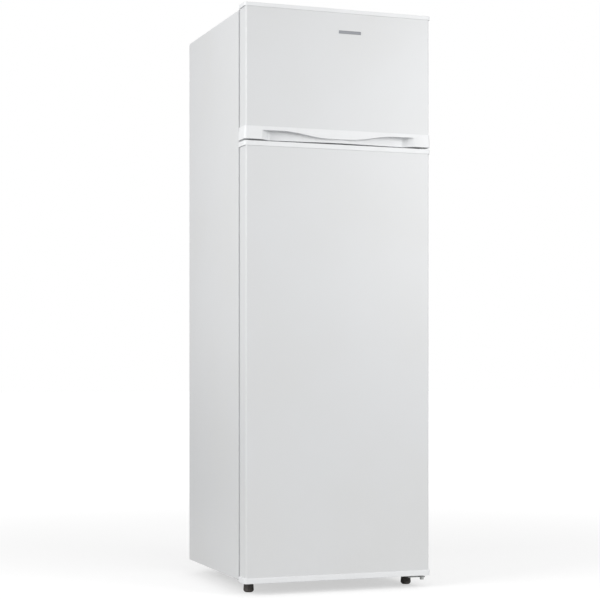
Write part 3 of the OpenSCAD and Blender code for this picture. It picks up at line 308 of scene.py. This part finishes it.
# finishes with one worn pattern, by slot
wornLooks = {
    "gasket_rubber": {
        "name": "gasketRubber", "flat": (0.86, 0.87, 0.88), "flatRough": 0.6,
        "wear": (60, 4), "wearFade": (0.45, 0.8),
        "colors": ((0.87, 0.88, 0.89), (0.80, 0.80, 0.795)), "rough": (0.52, 0.2),
        "grain": (700, 3), "depth": 0.06 * mm, "strength": 0.6},
    "evaporator_metal": {
        "name": "rolledAluminium", "flat": (0.75, 0.76, 0.77), "flatRough": 0.35,
        "fixed": {"Metallic": 1.0}, "wear": (30, 3, (1, 1, 14)),
        "colors": ((0.8, 0.81, 0.82), (0.66, 0.67, 0.68)), "rough": (0.28, 0.2),
        "depth": 0.05 * mm, "strength": 0.4},
    "black_enamel": {
        "name": "blackEnamel", "flat": (0.02, 0.02, 0.022), "flatRough": 0.34,
        "fixed": {"Coat Weight": 0.2}, "wear": (26, 5), "wearFade": (0.48, 0.8),
        "colors": ((0.018, 0.018, 0.02), (0.075, 0.072, 0.068)), "rough": (0.3, 0.3),
        "grain": (350, 2), "depth": 0.07 * mm, "strength": 0.6},
    "black_plastic": {
        "name": "blackPlastic", "flat": (0.03, 0.03, 0.032), "flatRough": 0.5,
        "wear": (34, 4), "wearFade": (0.5, 0.85),
        "colors": ((0.028, 0.028, 0.03), (0.10, 0.095, 0.09)), "rough": (0.45, 0.25),
        "cells": 1100, "depth": 0.08 * mm, "strength": 0.7},
    "black_rubber": {
        "name": "blackRubber", "flat": (0.03, 0.03, 0.03), "flatRough": 0.75,
        "wear": (90, 4), "colors": ((0.022, 0.022, 0.022), (0.07, 0.068, 0.065)),
        "rough": (0.65, 0.2), "depth": 0.1 * mm, "strength": 0.5},
    "copper": {
        "name": "copperTube", "flat": (0.70, 0.36, 0.22), "flatRough": 0.3,
        "fixed": {"Metallic": 1.0}, "wear": (40, 5), "wearFade": (0.4, 0.75),
        "colors": ((0.76, 0.42, 0.28), (0.30, 0.16, 0.10)), "rough": (0.24, 0.32),
        "grain": (500, 2), "depth": 0.04 * mm, "strength": 0.4},
    "drain_plastic": {
        "name": "drainPlastic", "flat": (0.55, 0.56, 0.57), "flatRough": 0.45,
        "wear": (70, 3), "colors": ((0.60, 0.61, 0.62), (0.45, 0.46, 0.47)),
        "rough": (0.4, 0.15), "depth": 0.1 * mm, "strength": 0.4},
    "lens_plastic": {
        "name": "lampLens", "flat": (0.86, 0.88, 0.88), "flatRough": 0.25,
        "fixed": {"Alpha": 0.75, "Specular IOR Level": 0.6},
        "wear": (120, 2), "colors": ((0.90, 0.92, 0.92), (0.80, 0.83, 0.83)),
        "rough": (0.2, 0.15), "depth": 0.1 * mm, "strength": 0.4},
    "bulb_glass": {
        "name": "bulbGlass", "flat": (0.92, 0.90, 0.84), "flatRough": 0.3,
        "fixed": {"Alpha": 0.9}, "wear": (160, 2),
        "colors": ((0.95, 0.93, 0.88), (0.86, 0.83, 0.76)), "rough": (0.25, 0.2)},
    "wire_white": {
        "name": "coatedWire", "flat": (0.80, 0.81, 0.82), "flatRough": 0.32,
        "fixed": {"Coat Weight": 0.3}, "wear": (260, 3),
        "colors": ((0.83, 0.84, 0.85), (0.76, 0.77, 0.78)), "rough": (0.26, 0.14),
        "depth": 0.15 * mm, "strength": 0.5},
    "badge_metal": {
        "name": "satinBadge", "flat": (0.30, 0.31, 0.33), "flatRough": 0.45,
        "fixed": {"Metallic": 0.35}, "wear": (260, 2, (0.08, 1, 6)),
        "colors": ((0.34, 0.35, 0.37), (0.24, 0.25, 0.27)), "rough": (0.42, 0.2),
        "depth": 0.03 * mm, "strength": 0.5},
}


def wornFinish(look):
    # the wear colors and roughens the surface, and shapes it where there is no grain or cells
    f = Finish(look)
    wear = f.noise(*look["wear"])
    if "wearFade" in look:
        wear = f.ramp(wear, *look["wearFade"])
    f.color(f.mix(wear, *look["colors"]))
    lowest, added = look["rough"]
    f.rough(lowest + wear * added)
    if "grain" in look:
        relief = f.noise(*look["grain"])
    elif "cells" in look:
        relief = f.cells(look["cells"])
    else:
        relief = wear
    if "depth" in look:
        f.bump(relief, look["depth"], look["strength"])
    return f.material


finishes = {slot: wornFinish(look) for slot, look in wornLooks.items()}
finishes.update({
    "enamel": enamelFinish(), "strip_enamel": enamelFinish(), "cap_plastic": capFinish(),
    "liner_plastic": linerFinish(), "foam": foamFinish(), "zinc_steel": zincFinish(),
    "shelf_glass": glassFinish(), "bin_plastic": binFinish(), "foot_plastic": footFinish(),
})
print("finishes made")


# cleaning and shading of a piece; the angles are in degrees
shaping = {"merge": 0.01 * mm, "flat": 0.6, "bevelFrom": 32, "smoothTo": 40, "roundSmoothTo": 50}


def pick(piece):
    bpy.ops.object.select_all(action="DESELECT")
    piece.select_set(True)
    bpy.context.view_layer.objects.active = piece


def edit(piece):
    pick(piece)
    bpy.ops.object.mode_set(mode="EDIT")
    bpy.ops.mesh.select_all(action="SELECT")


def leave():
    bpy.ops.object.mode_set(mode="OBJECT")


def modify(piece, kind, **settings):
    pick(piece)
    added = piece.modifiers.new(kind.title(), kind)
    for key, value in settings.items():
        setattr(added, key, value)
    bpy.ops.object.modifier_apply(modifier=added.name)


def smooth(piece, angle):
    pick(piece)
    bpy.ops.object.shade_smooth_by_angle(angle=math.radians(angle))


def ease(piece, edge, steps):
    # rounds the sharp edges a little and evens the shading
    modify(piece, "BEVEL", width=edge, segments=steps, limit_method="ANGLE",
           angle_limit=math.radians(shaping["bevelFrom"]), use_clamp_overlap=True)
    smooth(piece, shaping["smoothTo"])
    modify(piece, "WEIGHTED_NORMAL", keep_sharp=True)


def settle(piece, body, slot, *nodes):
    # place into the mesh, finish, body and slot of a finished piece
    pick(piece)
    bpy.ops.object.transform_apply(location=True, rotation=True, scale=True)
    piece.data.materials.clear()
    piece.data.materials.append(finishes[slot])
    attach(piece, body)
    if nodes:
        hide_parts(*nodes)


def mergedCopy(node, name):
    # a copy of a CAD node as a free piece, with its loose triangles joined into flat faces
    source = frame["nodes"][node]
    piece = source.copy()
    piece.data = source.data.copy()
    piece.name = name
    piece.parent = None
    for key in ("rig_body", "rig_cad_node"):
        if key in piece:
            del piece[key]
    bpy.context.scene.collection.objects.link(piece)
    edit(piece)
    bpy.ops.mesh.remove_doubles(threshold=shaping["merge"])
    bpy.ops.mesh.dissolve_limited(angle_limit=math.radians(shaping["flat"]))
    leave()
    return piece


def refine(node, edge, steps):
    piece = mergedCopy(node, node + "_eased")
    ease(piece, edge * mm, steps)
    settle(piece, bodyOf[node], slotOf[node], node)


def named(name):
    # the primitive just added, with its place in its mesh
    piece = bpy.context.active_object
    piece.name = name
    bpy.ops.object.transform_apply(location=True, rotation=True, scale=True)
    return piece


def bar(name, low, high):
    # a block between two corners
    size = [b - a for a, b in zip(low, high)]
    middle = [(a + b) / 2 for a, b in zip(low, high)]
    bpy.ops.object.select_all(action="DESELECT")
    bpy.ops.mesh.primitive_cube_add(size=1, location=middle, scale=size)
    return named(name)


def rod(name, low, high, radius, sides):
    # a round bar between two points
    low, high = Vector(low), Vector(high)
    run = high - low
    bpy.ops.object.select_all(action="DESELECT")
    bpy.ops.mesh.primitive_cylinder_add(
        vertices=sides, radius=radius, depth=run.length,
        location=(low + high) / 2, rotation=run.to_track_quat("Z", "Y").to_euler())
    return named(name)


def join(pieces, name):
    bpy.ops.object.select_all(action="DESELECT")
    for piece in pieces:
        piece.select_set(True)
    bpy.context.view_layer.objects.active = pieces[0]
    bpy.ops.object.join()
    pieces[0].name = name
    return pieces[0]


def ringOf(name, count, first, step, axis, center, make):
    # count copies of one small shape, turned about an axis by angles in degrees
    pieces = []
    for i in range(count):
        piece = make()
        edit(piece)
        bpy.ops.transform.rotate(value=math.radians(first + i * step), orient_axis=axis,
                                 center_override=center)
        leave()
        pieces.append(piece)
    return join(pieces, name)


def chooseFaces(piece, test):
    # opens a piece with only the faces selected whose normal passes the test
    edit(piece)
    bpy.ops.mesh.select_mode(type="FACE")
    leave()
    for face in piece.data.polygons:
        face.select = test(face.normal)
    bpy.ops.object.mode_set(mode="EDIT")


# CAD pieces that keep their shape and get eased edges: the edge in mm, and its steps
easedEdges = {
    "cabinet_shell": (0.3, 2), "freezer_door_skin": (0.25, 2), "fridge_door_skin": (0.25, 2),
    "freezer_door_top_cap": (2.2, 4), "fridge_door_top_cap": (2.0, 4),
    "fridge_door_bottom_cap": (3.0, 4), "freezer_door_handle": (1.6, 4),
    "freezer_door_gasket": (1.4, 3), "fridge_door_gasket": (1.4, 3),
    "freezer_liner": (0.5, 2), "fridge_liner": (0.5, 2), "mullion_strip": (0.4, 2),
    "freezer_door_liner": (0.5, 2), "fridge_door_liner": (0.5, 2),
    "top_hinge_cover": (1.2, 3), "top_hinge": (0.4, 2), "middle_hinge": (0.4, 2),
    "bottom_hinge": (0.4, 2), "foot_left_pad": (0.8, 3), "foot_right_pad": (0.8, 3),
    "roller_left": (0.8, 3), "roller_right": (0.8, 3), "front_rail": (0.4, 2),
    "glass_shelves": (0.8, 3), "crisper_cover": (0.8, 3), "shelf_trims": (1.0, 3),
    "crisper_drawer": (0.8, 3), "freezer_door_racks": (0.8, 3), "fridge_door_racks": (0.8, 3),
    "bottle_rack": (0.8, 3), "ice_tray": (0.6, 2), "egg_tray": (0.6, 2),
    "thermostat_housing": (0.6, 2), "thermostat_knob": (0.6, 2), "lamp_lens": (0.4, 2),
    "switch_button": (0.5, 2), "compressor_housing": (0.8, 3), "relay_cover": (0.5, 2),
    "drip_tray": (0.6, 2), "compressor_tray": (0.3, 2), "roller_brackets": (0.3, 2),
    "cable_gland": (0.5, 2), "base_panel": (0.2, 1), "back_panel": (0.2, 1),
    "condenser_brackets": (0.5, 2),
}
for node, (edge, steps) in easedEdges.items():
    refine(node, edge, steps)
for node, obj in frame["nodes"].items():
    if node not in easedEdges:
        obj.data.materials.clear()
        obj.data.materials.append(finishes[slotOf[node]])
print("cad pieces eased and finished")


# thin wires across the condenser's tube: two between neighbouring CAD wires behind the tube, and
# three a pitch before it
grid = {"pitch": 43.78 * mm, "perPitch": 3, "pitches": 9, "left": -197 * mm, "bottom": 320 * mm,
        "tube": 2.4 * mm, "layer": 2.9 * mm, "radius": 0.7 * mm, "sides": 8,
        "behind": (1, 2), "before": (0, 1, 2)}


def makeGrid():
    low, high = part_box("condenser")
    middle = low.y + grid["tube"]
    wires = []
    for y, places in ((middle + grid["layer"], grid["behind"]),
                      (middle - grid["layer"], grid["before"])):
        for place in places:
            x = grid["left"] + place * grid["pitch"] / grid["perPitch"]
            wires.append(rod("wire", (x, y, grid["bottom"]), (x, y, high.z),
                             grid["radius"], grid["sides"]))
    wires = join(wires, "condenser_wires")
    modify(wires, "ARRAY", count=grid["pitches"], use_relative_offset=False,
           use_constant_offset=True, constant_offset_displace=(grid["pitch"], 0, 0))
    smooth(wires, shaping["roundSmoothTo"])
    settle(wires, "cabinet", "black_enamel")


# marks around the thermostat, and the line on its knob
dial = {"center": (-45 * mm, -200.4 * mm, 1182.5 * mm), "marks": 7, "first": -150, "step": 50,
        "inner": 16.6 * mm, "outer": 19.4 * mm, "half": 0.5 * mm, "rise": 0.3 * mm,
        "edge": 0.1 * mm, "edgeSteps": 1}
pointerLine = {"start": 2 * mm, "end": 10 * mm, "half": 0.6 * mm, "rise": 0.2 * mm,
               "edge": 0.08 * mm, "edgeSteps": 2}


def makeDial():
    x, y, z = dial["center"]
    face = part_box("thermostat_housing")[0].y
    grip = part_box("thermostat_knob")[0].y
    marks = ringOf("dial_marks", dial["marks"], dial["first"], dial["step"], "Y", dial["center"],
                   lambda: bar("mark", (x - dial["half"], face - dial["rise"], z + dial["inner"]),
                               (x + dial["half"], face, z + dial["outer"])))
    ease(marks, dial["edge"], dial["edgeSteps"])
    settle(marks, "cabinet", "drain_plastic")
    half = pointerLine["half"]
    pointer = bar("dial_pointer",
                  (x - half, grip - pointerLine["rise"], z + pointerLine["start"]),
                  (x + half, grip, z + pointerLine["end"]))
    ease(pointer, pointerLine["edge"], pointerLine["edgeSteps"])
    settle(pointer, "knob", "drain_plastic")


# raised weld around the compressor
seam = {"center": (-60 * mm, 183 * mm, 84.5 * mm), "radius": 69.9 * mm, "thick": 1.6 * mm,
        "around": 96, "across": 10}


def makeSeam():
    bpy.ops.object.select_all(action="DESELECT")
    bpy.ops.mesh.primitive_torus_add(location=seam["center"], major_radius=seam["radius"],
                                     minor_radius=seam["thick"], major_segments=seam["around"],
                                     minor_segments=seam["across"])
    weld = bpy.context.active_object
    weld.name = "compressor_weld"
    bpy.ops.object.shade_smooth()
    settle(weld, "cabinet", "black_enamel")


# pan heads along the rear panel's edges, each with a raised rim and a recess
panelScrews = {"side": 262 * mm, "low": 270 * mm, "step": 215 * mm, "rows": 6,
               "radius": 3.6 * mm, "sides": 20, "sunk": 0.2 * mm, "rise": 1.8 * mm,
               "crown": (1.3 * mm, 0.3 * mm), "recess": (0.6 * mm, -0.9 * mm),
               "edge": 0.15 * mm, "edgeSteps": 2}


def makePanelScrews():
    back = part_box("back_panel")[1].y
    heads = []
    for side in (-1, 1):
        for row in range(panelScrews["rows"]):
            x, z = side * panelScrews["side"], panelScrews["low"] + row * panelScrews["step"]
            heads.append(rod("head", (x, back - panelScrews["sunk"], z),
                             (x, back + panelScrews["rise"], z),
                             panelScrews["radius"], panelScrews["sides"]))
    heads = join(heads, "panel_screws")
    chooseFaces(heads, lambda normal: normal.y > 0.9)
    for inward, outward in (panelScrews["crown"], panelScrews["recess"]):
        bpy.ops.mesh.inset(thickness=inward, depth=outward, use_individual=True)
    leave()
    ease(heads, panelScrews["edge"], panelScrews["edgeSteps"])
    settle(heads, "cabinet", "zinc_steel")


# grip ribs around the levelling pads, from a low to a high place out from the middle
padRibs = {"count": 16, "low": (13.7 * mm, 5 * mm), "high": (12.6 * mm, 21 * mm),
           "radius": 0.8 * mm, "sides": 8}


def makePadRibs():
    for node in ("foot_left_pad", "foot_right_pad"):
        low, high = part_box(node)
        x, y = (low.x + high.x) / 2, (low.y + high.y) / 2
        (lowOut, lowZ), (highOut, highZ) = padRibs["low"], padRibs["high"]
        ribs = ringOf(node + "_ribs", padRibs["count"], 0, 360 / padRibs["count"], "Z", (x, y, 0),
                      lambda: rod("rib", (x + lowOut, y, lowZ), (x + highOut, y, highZ),
                                  padRibs["radius"], padRibs["sides"]))
        smooth(ribs, shaping["roundSmoothTo"])
        settle(ribs, bodyOf[node], "foot_plastic")


makeGrid()
makeDial()
makeSeam()
makePanelScrews()
makePadRibs()
print("small details made")


# blank plate on the freezer door, with a rim around a sunk field
badge = {"width": 65 * mm, "height": 8.5 * mm, "thick": 0.9 * mm, "x": 31 * mm,
         "belowTop": 63 * mm, "rim": 1.2 * mm, "slope": 0.3 * mm, "sunk": 0.3 * mm,
         "edge": 0.25 * mm, "edgeSteps": 2}


def makeBadge():
    x, y = badge["x"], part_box("freezer_door_skin")[0].y
    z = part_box("freezer_door_top_cap")[1].z - badge["belowTop"]
    width, height = badge["width"] / 2, badge["height"] / 2
    plate = bar("blank_badge", (x - width, y - badge["thick"], z - height),
                (x + width, y, z + height))
    chooseFaces(plate, lambda normal: normal.y < -0.9)
    bpy.ops.mesh.inset(thickness=badge["rim"], depth=0)
    bpy.ops.mesh.inset(thickness=badge["slope"], depth=-badge["sunk"])
    leave()
    ease(plate, badge["edge"], badge["edgeSteps"])
    settle(plate, "freezer_door", "badge_metal")


makeBadge()
print("badge made")


# floor, lights and camera; the floor is shaded near the appliance and fades to plain white
paleFloor = {"name": "paleFloor", "flat": (0.9, 0.9, 0.9), "flatRough": 0.7,
             "fixed": {"Emission Strength": 1.0}, "size": 60.0, "fade": (0.7, 3.6),
             "colors": ((0.44, 0.44, 0.44), (0, 0, 0)), "glows": ((0.55, 0.55, 0.55), (1, 1, 1)),
             "unseenGlow": (0.05, 0.05, 0.05)}
camera = {"place": (-1.579, -4.308, 0.623), "turn": 20.0, "lens": 94.4, "shift": 0.108,
          "reach": 200}
skyLight = 0.65
softBoxes = {
    "keyLight": {"place": (1.65, -2.3, 1.55), "aim": (0.1, -0.2, 1.02), "size": 1.5, "power": 34},
    "sideLight": {"place": (-2.4, -0.9, 1.7), "aim": (-0.27, -0.2, 1.0), "size": 1.4,
                  "power": 38},
}


def floorFinish():
    f = Finish(paleFloor)
    reach = f.node("ShaderNodeVectorMath", {"operation": "LENGTH"}, {0: f.place}, "Value")
    far = f.ramp(reach, *paleFloor["fade"])
    f.color(f.mix(far, *paleFloor["colors"]))
    # the glow is for the eye, and lights the appliance only a little
    seen = f.node("ShaderNodeLightPath", output="Is Camera Ray")
    glow = f.mix(seen, paleFloor["unseenGlow"], f.mix(far, *paleFloor["glows"]))
    f.fill(f.shader, {"Emission Color": glow})
    return f.material


def makeFloor():
    bpy.ops.mesh.primitive_plane_add(size=paleFloor["size"], location=(0, 0, 0))
    floor = bpy.context.active_object
    floor.name = "floor"
    floor.data.materials.append(floorFinish())


def makeSky():
    # white to look at, but softer as a light
    world = bpy.data.worlds.new("studio")
    world.use_nodes = True
    tree = world.node_tree
    backdrop = tree.nodes["Background"]
    backdrop.inputs["Color"].default_value = (1, 1, 1, 1)
    seen = tree.nodes.new("ShaderNodeLightPath").outputs["Is Camera Ray"]
    level = tree.nodes.new("ShaderNodeMapRange")
    level.inputs["To Min"].default_value = skyLight
    tree.links.new(seen, level.inputs["Value"])
    tree.links.new(level.outputs["Result"], backdrop.inputs["Strength"])
    bpy.context.scene.world = world


def makeSoftBox(name, place, aim, size, power):
    bpy.ops.object.light_add(type="AREA", location=place)
    lamp = bpy.context.active_object
    lamp.name = name
    lamp.data.shape, lamp.data.size, lamp.data.energy = "SQUARE", size, power
    lamp.rotation_mode = "QUATERNION"
    lamp.rotation_quaternion = (Vector(aim) - Vector(place)).to_track_quat("-Z", "Y")


def makeCamera():
    bpy.ops.object.camera_add(location=camera["place"],
                              rotation=(math.radians(90), 0, -math.radians(camera["turn"])))
    made = bpy.context.active_object
    made.data.lens, made.data.shift_y = camera["lens"], camera["shift"]
    made.data.clip_end = camera["reach"]
    bpy.context.scene.camera = made


makeFloor()
makeSky()
for name, box in softBoxes.items():
    makeSoftBox(name, **box)
makeCamera()
bpy.context.scene.view_settings.view_transform = "Standard"
print("stage made")
